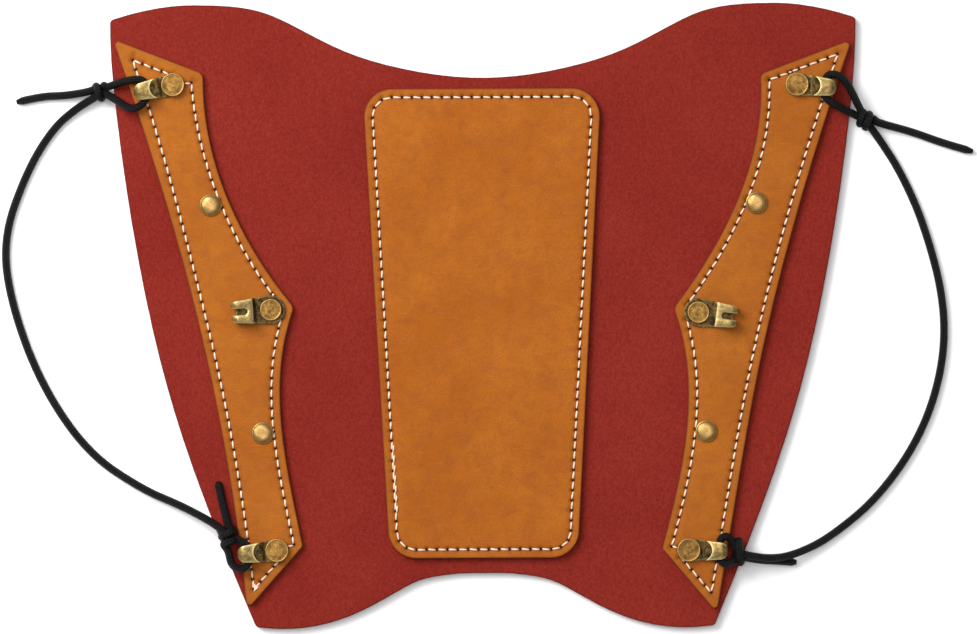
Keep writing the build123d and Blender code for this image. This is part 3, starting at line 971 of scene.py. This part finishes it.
def lace_hook(name, material):
    """One hook bent from a flat pattern of brass sheet, crowned and rubbed on its edges, painted bright
    there as wear and highlight, and painted dark underneath as patina and shade.
    """
    pattern = HOOK_PATTERNS["middle" if name.startswith("middle") else "corner"]
    path, run = hook_path(pattern["ring"], pattern["lip"])
    bend_x = HOOK_REACH - THROAT_HEIGHT / 2 - SHEET
    turn_index = int(np.argmax(path[:, 0]))

    def top_run(x):
        """Distance along the sheet to the place x on its upper, returning leg."""
        return float(np.interp(-x, -path[turn_index:, 0], run[turn_index:]))

    def low_run(x):
        return float(np.interp(x, path[:turn_index, 0], run[:turn_index]))

    def lip(y):
        if pattern["scoop"]:
            x, radius = pattern["scoop"]
            if abs(y) < radius:
                return max(pattern["lip"], x + math.sqrt(radius**2 - y**2))
        return pattern["lip"]

    width = pattern["width"]
    back = pattern["back"]
    side = []
    for turn in np.radians(np.arange(0, 90, 9)):
        x = back * math.cos(turn)
        side.append((low_run(x), width(x)))
    span = np.arange(low_run(0.4), top_run(lip(width(pattern["lip"]))) - 0.2, 0.35)
    for s in span:
        side.append((float(s), width(float(np.interp(s, run, path[:, 0])))))
    wide = width(pattern["lip"])
    rim = [(top_run(lip(y)), y) for y in np.linspace(wide, -wide, 19)]
    outline = np.array(side + rim + [(s, -y) for s, y in side[:0:-1]])
    outline = outline[::-1] if signed_area(outline) < 0 else outline
    holes = [ring(low_run(0), 0.0, POST_RADIUS + 0.05, 24)]
    if pattern["slot"]:
        start, half = pattern["slot"]
        a = run[np.searchsorted(run, low_run(bend_x)) + 3]
        b = top_run(start)
        holes.append(slot_loop(a, b, half))
    flat, faces, away = hook_triangles(outline, holes, run)

    xs, zs = np.interp(flat[:, 0], run, path[:, 0]), np.interp(flat[:, 0], run, path[:, 1])
    slope = np.gradient(path, run, axis=0)
    slope /= np.hypot(*slope.T)[:, None]
    tx, tz = np.interp(flat[:, 0], run, slope[:, 0]), np.interp(flat[:, 0], run, slope[:, 1])
    scale = np.maximum(np.hypot(tx, tz), 1e-6)
    # the outer side of the bend faces away from its centre
    outward = np.stack([tz / scale, -tx / scale], 1)
    returning = np.clip((flat[:, 0] - low_run(bend_x)) / 2.5, 0, 1)
    half_width = np.array([max(width(x), 0.5) for x in xs])
    if pattern["slot"]:
        crown = pattern["crown"] * returning * (1 - np.clip(away / 1.2, 0, 1)) ** 2
    else:
        crown = pattern["crown"] * returning * np.clip(np.abs(flat[:, 1]) / half_width, 0, 1) ** 2
    tumbled = np.array([noise.noise(Vector((s * 1.3, y * 1.3, len(name)))) for s, y in flat]) * 0.05
    outer = SHEET / 2 - crown + tumbled * returning - 0.02
    x0, y0 = node_centre("hook_rivet_" + name)
    angle = hook_direction(name)
    base_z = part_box("hook_" + name)[0].z / MM
    points, wear, hollow = [], [], []
    for offset, facing in ((outer, 1), (-SHEET / 2 * np.ones(len(flat)), -1)):
        for i in range(len(flat)):
            x = xs[i] + outward[i, 0] * offset[i]
            z = zs[i] + outward[i, 1] * offset[i]
            y = flat[i, 1]
            points.append((x0 + x * math.cos(angle) - y * math.sin(angle),
                           y0 + x * math.sin(angle) + y * math.cos(angle), base_z + z))
            # rubbed edges, and the whole top of the returning curl, painted bright: wear with a painted
            # highlight
            rubbed_and_highlit = math.exp(-away[i] / 0.35) if facing > 0 else 0.4 * math.exp(-away[i] / 0.2)
            wear.append(rubbed_and_highlit * (0.25 + 0.75 * returning[i]) + 0.1 * returning[i] * (facing > 0))
            # undersides and the arm under the curl painted near black: patina with painted shade
            patina_and_shade_amount = 0.85 if facing < 0 else 0.0
            if flat[i, 0] < low_run(bend_x):
                patina_and_shade_amount = 0.8 * math.exp(-away[i] * 0.1) if facing < 0 else 0.75
            hollow.append(max(0.0, patina_and_shade_amount - 0.7 * math.exp(-away[i] / 0.25)))
    piece = make_object("lace_hook_" + name, points, shell(faces, len(flat)), material, "antique_brass",
                        "lace_hook_" + name, ["hook_" + name], wear=wear, hollow=hollow)
    bevel = piece.modifiers.new("rubbed_edges", "BEVEL")
    bevel.width = 0.2 * MM
    bevel.segments = 3
    bevel.limit_method = "ANGLE"
    bevel.angle_limit = math.radians(50)
    return piece


def hook_cap(name, material):
    """Flat turned cap with a rubbed rim, painted bright as wear and highlight, and a faint turned step
    inside it.
    """
    low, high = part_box("hook_rivet_" + name)
    radius = (high.x - low.x) / 2 / MM
    foot, top = low.z / MM, high.z / MM
    under = top - 1.3
    # third column: wear with a painted highlight, brightest on the top of the rim
    profile = [
        (0, foot, 0), (POST_RADIUS, foot, 0), (POST_RADIUS, under, 0), (radius - 0.2, under, 0.1),
        (radius - 0.03, under + 0.12, 0.3), (radius, under + 0.3, 0.3), (radius, top - 0.42, 0.5),
        (radius - 0.08, top - 0.2, 0.7), (radius - 0.2, top - 0.03, 0.9), (radius - 0.3, top - 0.0, 0.7),
        (radius - 0.45, top - 0.1, 0.2), (radius - 0.65, top - 0.12, 0.0), (radius * 0.62, top - 0.1, 0.0),
        (radius * 0.45, top - 0.07, 0.15), (radius * 0.25, top - 0.06, 0.0), (0, top - 0.05, 0.1),
    ]
    return lathe("cap_" + name, profile, node_centre("hook_rivet_" + name), "root", "antique_brass",
                 ["hook_rivet_" + name], material, 1.0, dent=0.07)


def dome_stud(name, material):
    """Low dome with a rolled rim, and a crown hammered flat off its middle; painted brighter on the rim
    and towards the top, as wear and highlight.
    """
    low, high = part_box("stud_" + name)
    radius = (high.x - low.x) / 2 / MM
    foot, top = low.z / MM, high.z / MM
    seat = STRIP_TOP
    rows = [
        (0, foot, 0), (POST_RADIUS, foot, 0), (POST_RADIUS, seat + 0.05, 0),
        (radius - 0.15, seat + 0.05, 0), (radius, seat + 0.22, 0), (radius - 0.03, seat + 0.4, 0.1),
        (radius - 0.2, seat + 0.56, 0.3), (radius - 0.42, seat + 0.62, 0.2),
    ]
    for share in np.linspace(0.1, 1.0, 9):
        tilt = share * math.pi / 2
        rows.append(((radius - 0.5) * math.cos(tilt), seat + 0.62 + (top - seat - 0.66) * math.sin(tilt),
                     0.3 * math.sin(tilt)))
    rows[-1] = (0, rows[-1][1], 0)
    piece = lathe("dome_" + name, rows, node_centre("stud_" + name), "root", "antique_brass",
                  ["stud_" + name], material, 1.0, dent=0.04)
    flatten_crown(piece, node_centre("stud_" + name), top)
    return piece


def flatten_crown(piece, centre, top):
    """Presses three flats into a dome, the largest a little right of its middle."""
    planes = [
        ((0.45, 0.25), (0.04, 0.03), 0.24), ((-0.9, -1.5), (0.2, 0.3), 0.36),
        ((-1.6, 0.9), (0.24, -0.14), 0.38),
    ]
    for vertex in piece.data.vertices:
        x, y = vertex.co.x / MM - centre[0], vertex.co.y / MM - centre[1]
        z = vertex.co.z / MM
        if math.hypot(x, y) < 2.9 and z > top - 1.05:
            for (px, py), (sx, sy), drop in planes:
                limit = top - drop + sx * (x - px) + sy * (y - py)
                z = min(z, limit)
            vertex.co.z = z * MM


def brass_rivet_backs(material):
    """The closing discs keep their CAD shape and take the brass."""
    for node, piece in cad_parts.items():
        if "_back_" in node:
            piece.data.materials.clear()
            piece.data.materials.append(material)


# ---------------------------------------------------------------- elastic cords

# Each cord's route, from its elbow tail to its wrist tail, in millimetres
CORDS = {
    "left": {
        "tail_elbow": [
            (-149.2, 69.0, 1.3), (-141.5, 70.9, 1.3), (-133.5, 71.0, 1.9), (-124.6, 72.5, 3.3),
        ],
        "loop_elbow": [
            (-120.6, 73.4, 4.4), (-115.8, 75.2, 5.9), (-111.5, 76.0, 7.6), (-108.6, 75.9, 7.8),
            (-107.3, 73.8, 7.8), (-107.6, 69.4, 7.8), (-110.0, 67.0, 7.7), (-113.0, 66.6, 7.4),
            (-117.0, 69.4, 5.8), (-120.6, 71.6, 4.4),
        ],
        "span": [
            (-124.0, 70.4, 3.3), (-130.0, 67.0, 1.8), (-137.6, 60.6, 1.3), (-146.0, 47.0, 1.3),
            (-153.8, 25.5, 1.3), (-151.4, 5.0, 1.3), (-142.0, -21.0, 1.3), (-127.0, -43.3, 1.3),
            (-109.5, -55.0, 1.4), (-98.5, -59.6, 2.8), (-90.5, -63.6, 5.4), (-84.4, -67.4, 6.3),
        ],
        "loop_wrist": [
            (-79.9, -70.6, 6.9), (-76.9, -71.9, 7.7), (-75.3, -73.8, 7.8), (-74.9, -76.6, 7.8),
            (-75.7, -79.2, 7.8), (-78.1, -80.8, 7.7), (-81.1, -79.2, 7.2), (-81.9, -74.6, 6.6),
        ],
        "tail_wrist": [
            (-81.9, -67.4, 6.1), (-83.2, -61.8, 4.7), (-84.3, -57.2, 4.3), (-85.2, -52.5, 4.3),
        ],
    },
    "right": {
        "tail_elbow": [
            (156.6, 51.9, 1.3), (147.6, 54.4, 1.3), (137.0, 58.4, 1.4), (125.4, 61.4, 3.2),
        ],
        "loop_elbow": [
            (121.0, 64.4, 4.5), (118.3, 70.0, 5.9), (115.8, 75.0, 7.5), (112.2, 76.9, 7.8),
            (109.6, 76.2, 7.8), (109.0, 73.2, 7.8), (108.6, 70.6, 7.8), (110.0, 68.4, 7.8),
            (113.8, 66.2, 7.0), (119.2, 63.6, 4.5),
        ],
        "span": [
            (124.0, 59.6, 3.2), (127.6, 54.6, 1.9), (133.5, 45.3, 1.3), (140.6, 29.5, 1.3),
            (147.2, 5.0, 1.3), (147.0, -16.0, 1.3), (140.0, -38.3, 1.3), (126.2, -58.3, 1.3),
            (110.5, -71.2, 1.4), (100.5, -76.2, 2.6), (92.5, -78.1, 4.7), (83.2, -76.8, 7.0),
        ],
        "loop_wrist": [
            (78.9, -71.9, 7.0), (77.3, -70.6, 7.6), (75.6, -70.9, 7.8), (74.7, -73.4, 7.8),
            (74.7, -77.0, 7.8), (75.8, -79.3, 7.8), (77.5, -79.6, 7.6), (79.1, -78.6, 7.0),
        ],
        "tail_wrist": [
            (82.7, -77.4, 4.8), (88.2, -78.5, 3.0), (93.6, -78.7, 1.5), (99.6, -79.2, 1.3),
        ],
    },
}

# Turns of each knot: its middle, the way the cord runs through it in degrees, half its
# length along that way, its radii across it level and upright, and its whole turns
KNOTS = {
    ("left", "elbow"): ((-122.2, 72.1, 3.7), 5.0, 1.5, 2.05, 1.95, 1),
    ("left", "wrist"): ((-81.9, -70.3, 6.4), 100.0, 2.1, 2.1, 1.95, 1),
    ("right", "elbow"): ((122.4, 62.1, 3.7), 148.0, 1.9, 2.1, 1.85, 1),
    ("right", "wrist"): ((80.9, -75.6, 6.3), -4.0, 1.3, 3.5, 1.55, 1),
}
POINTS_PER_TURN = 14


def knot_turns(key, before, after):
    """Turns of cord round a knot, from the point before it to the point after it."""
    middle, way, half, level, upright, whole = KNOTS[key]
    middle = Vector(middle)
    along = Vector((math.cos(math.radians(way)), math.sin(math.radians(way)), 0.0))
    across = Vector((-along.y, along.x, 0.0))

    def phase(point):
        offset = Vector(point) - middle
        return math.atan2(offset.z / upright, offset.dot(across) / level)

    start = phase(before)
    sweep = (phase(after) - start) % (2 * math.pi) + 2 * math.pi * whole
    steps = int(sweep / (2 * math.pi) * POINTS_PER_TURN)
    direction = 1 if (Vector(after) - Vector(before)).dot(along) > 0 else -1
    turns = []
    for step in range(steps + 1):
        share = step / steps
        turn = start + sweep * share
        offset = along * direction * half * (2 * share - 1)
        offset += across * level * math.cos(turn)
        offset += Vector((0, 0, upright * math.sin(turn)))
        turns.append(tuple(middle + offset))
    return turns


def cord_route(side):
    """Control points of one whole cord."""
    parts = CORDS[side]
    elbow = KNOTS[side, "elbow"][0]
    wrist = KNOTS[side, "wrist"][0]
    route = list(parts["tail_elbow"])
    route += knot_turns((side, "elbow"), parts["tail_elbow"][-1], parts["loop_elbow"][0])
    route += parts["loop_elbow"] + [elbow] + parts["span"] + [wrist] + parts["loop_wrist"]
    route += knot_turns((side, "wrist"), parts["loop_wrist"][-1], parts["tail_wrist"][0])
    return route + parts["tail_wrist"]


def smooth_line(side):
    """Points along the smooth line that the route's control points make, in metres."""
    route = cord_route(side)
    data = bpy.data.curves.new("route_" + side, "CURVE")
    data.dimensions = "3D"
    spline = data.splines.new("NURBS")
    spline.points.add(len(route) - 1)
    for point, (x, y, z) in zip(spline.points, route):
        point.co = (x * MM, y * MM, z * MM, 1.0)
    spline.order_u = 3
    spline.use_endpoint_u = True
    spline.resolution_u = 8
    holder = bpy.data.objects.new("route_" + side, data)
    line = bpy.data.meshes.new_from_object(holder)
    points = [v.co.copy() for v in line.vertices]
    bpy.data.objects.remove(holder)
    bpy.data.curves.remove(data)
    bpy.data.meshes.remove(line)
    kept = [points[0]]
    for point in points[1:]:
        if (point - kept[-1]).length > 0.02 * MM:
            kept.append(point)
    return kept


def elastic_cord(side, material):
    """One cord as a sleeve along its smooth line, with heat-sealed ends."""
    line = smooth_line(side)
    lengths = [0.0]
    for a, b in zip(line, line[1:]):
        lengths.append(lengths[-1] + (b - a).length)
    total = lengths[-1]
    radius = CORD_DIAMETER / 2 * MM
    frames = []
    level = Vector((0, 0, 1))
    for i, point in enumerate(line):
        way = (line[min(i + 1, len(line) - 1)] - line[max(i - 1, 0)]).normalized()
        level = (level - way * level.dot(way)).normalized()
        frames.append((point, way, level.copy(), way.cross(level)))
    points, faces, uvs = [], [], []
    for (point, way, up, side_way), run in zip(frames, lengths):
        end = min(run, total - run) / MM
        swell = 1.0 + 0.06 * math.exp(-((end - 0.9) / 0.5) ** 2)
        rounded = math.sqrt(max(0.0, 1 - (1 - min(end / 0.5, 1.0)) ** 2))
        thick = radius * swell * (0.55 + 0.45 * rounded)
        thick *= 1 + 0.015 * noise.noise(Vector((run / MM * 0.3, 0, 1 if side == "left" else 5)))
        for k in range(CORD_SIDES):
            turn = 2 * math.pi * k / CORD_SIDES
            place = point + (up * math.cos(turn) + side_way * math.sin(turn)) * thick
            points.append(tuple(place / MM))
    rows = len(line)
    for row in range(rows - 1):
        for k in range(CORD_SIDES):
            j = (k + 1) % CORD_SIDES
            a, b = row * CORD_SIDES + k, row * CORD_SIDES + j
            faces.append((a, a + CORD_SIDES, b + CORD_SIDES, b))
            u0, u1 = lengths[row] / MM, lengths[row + 1] / MM
            v0, v1 = k / CORD_SIDES, (k + 1) / CORD_SIDES
            uvs += [(u0, v0), (u1, v0), (u1, v1), (u0, v1)]
    for row, flip in ((0, False), (rows - 1, True)):
        centre = len(points)
        points.append(tuple(line[row] / MM))
        for k in range(CORD_SIDES):
            a, b = row * CORD_SIDES + k, row * CORD_SIDES + (k + 1) % CORD_SIDES
            faces.append((centre, b, a) if flip else (centre, a, b))
            uvs += [(lengths[row] / MM, 0.0)] * 3
    nodes = [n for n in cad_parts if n.startswith("cord_" + side)]
    piece = make_object("elastic_cord_" + side, points, faces, material, "elastic_cord", replaced=nodes)
    layer = piece.data.uv_layers.new(name="sleeve")
    for loop, uv in zip(layer.data, uvs):
        loop.uv = uv
    [tuple(p) for p in line]
    print(f"cord {side}: {total:.4f} m")
    return piece


# ---------------------------------------------------------------- floor and light

FLOOR_HALF = 3000.0
FLOOR_DROP = 0.05


def make_floor():
    """A plain pale table top."""
    s = Shader("pale_floor")
    colour = s.mix(s.noise(120.0, 3.0), srgb(250, 250, 250), srgb(253, 253, 253))
    s.finish(colour, s.remap(s.noise(3.0, 3.0), 0.3, 0.7, 0.85, 0.95), Specular_IOR_Level=0.1)
    work = bmesh.new()
    bmesh.ops.create_grid(work, x_segments=8, y_segments=8, size=FLOOR_HALF * MM)
    for vertex in work.verts:
        vertex.co.z = -FLOOR_DROP * MM
    mesh = bpy.data.meshes.new("floor")
    work.to_mesh(mesh)
    work.free()
    mesh.materials.append(s.material)
    floor = bpy.data.objects.new("floor", mesh)
    bpy.context.scene.collection.objects.link(floor)


def area_light(name, place, size, power):
    """A soft square light at a place in metres, aimed at the object."""
    data = bpy.data.lights.new(name, "AREA")
    data.size = size
    data.energy = power
    light = bpy.data.objects.new(name, data)
    bpy.context.scene.collection.objects.link(light)
    light.location = place
    light.rotation_euler = (-Vector(place)).to_track_quat("-Z", "Y").to_euler()


def make_lights():
    """Soft key from the upper left, a broad light overhead, pale surroundings."""
    world = bpy.data.worlds.new("studio")
    world.use_nodes = True
    world.node_tree.nodes["Background"].inputs["Color"].default_value = (1, 1, 1, 1)
    world.node_tree.nodes["Background"].inputs["Strength"].default_value = 0.36
    bpy.context.scene.world = world
    area_light("key", (-0.66, 0.56, 0.85), 0.7, 17.5)
    area_light("overhead", (-0.1, 0.15, 1.9), 1.2, 14.0)
    bpy.context.scene.view_settings.view_transform = "Standard"


# ---------------------------------------------------------------- the object

make_camera()

black = black_elastic()
for side in ("left", "right"):
    elastic_cord(side, black)

TONE_STRIP = (srgb(168, 96, 24), srgb(156, 84, 16), srgb(134, 68, 10))
TONE_PANEL = (srgb(168, 94, 22), srgb(156, 82, 12), srgb(136, 68, 8))
suede = red_suede()
strip_leather = tan_leather("tan_leather_strip", TONE_STRIP)
panel_leather = tan_leather("tan_leather_panel", TONE_PANEL)
leather_sheet("base_leather", suede, "red_leather", 0.0, 0.5, ripple=0.1)
for side in ("left", "right"):
    leather_sheet("side_strip_" + side, strip_leather, "tan_leather", BODY_TOP, 0.6,
                  stitch_places("stitching_" + side), sink=0.24, ripple=0.08)
leather_sheet("centre_panel", panel_leather, "tan_leather", BODY_TOP, 0.6,
              stitch_places("stitching_centre"), sink=0.24, ripple=0.12)

thread = cream_thread()
seam("stitching_left", STRIP_TOP - 0.24, thread, lambda x, y: y < -84.0)
seam("stitching_right", STRIP_TOP - 0.24, thread, lambda x, y: False)
seam("stitching_centre", PANEL_TOP - 0.24, thread, lambda x, y: x < -20 and -61 < y < -39)

# each brass: base, rubbed colour (wear with a painted highlight), patina colour and patina share
hook_brass, stud_brass, cap_brass = (
    antique_brass("antique_brass_" + use, srgb(*base), srgb(*rubbed_and_highlit), srgb(*dark), amount)
    for use, base, rubbed_and_highlit, dark, amount in [
        ("hook", (142, 112, 56), (236, 214, 150), (44, 28, 10), 0.95),
        ("stud", (172, 132, 72), (214, 182, 120), (100, 68, 30), 0.6),
        ("cap", (140, 102, 46), (206, 170, 104), (78, 52, 18), 0.75),
    ]
)
for name in HOOK_NAMES:
    lace_hook(name, hook_brass)
    hook_cap(name, cap_brass)
for name in STUD_NAMES:
    dome_stud(name, stud_brass)
brass_rivet_backs(cap_brass)

make_floor()
make_lights()
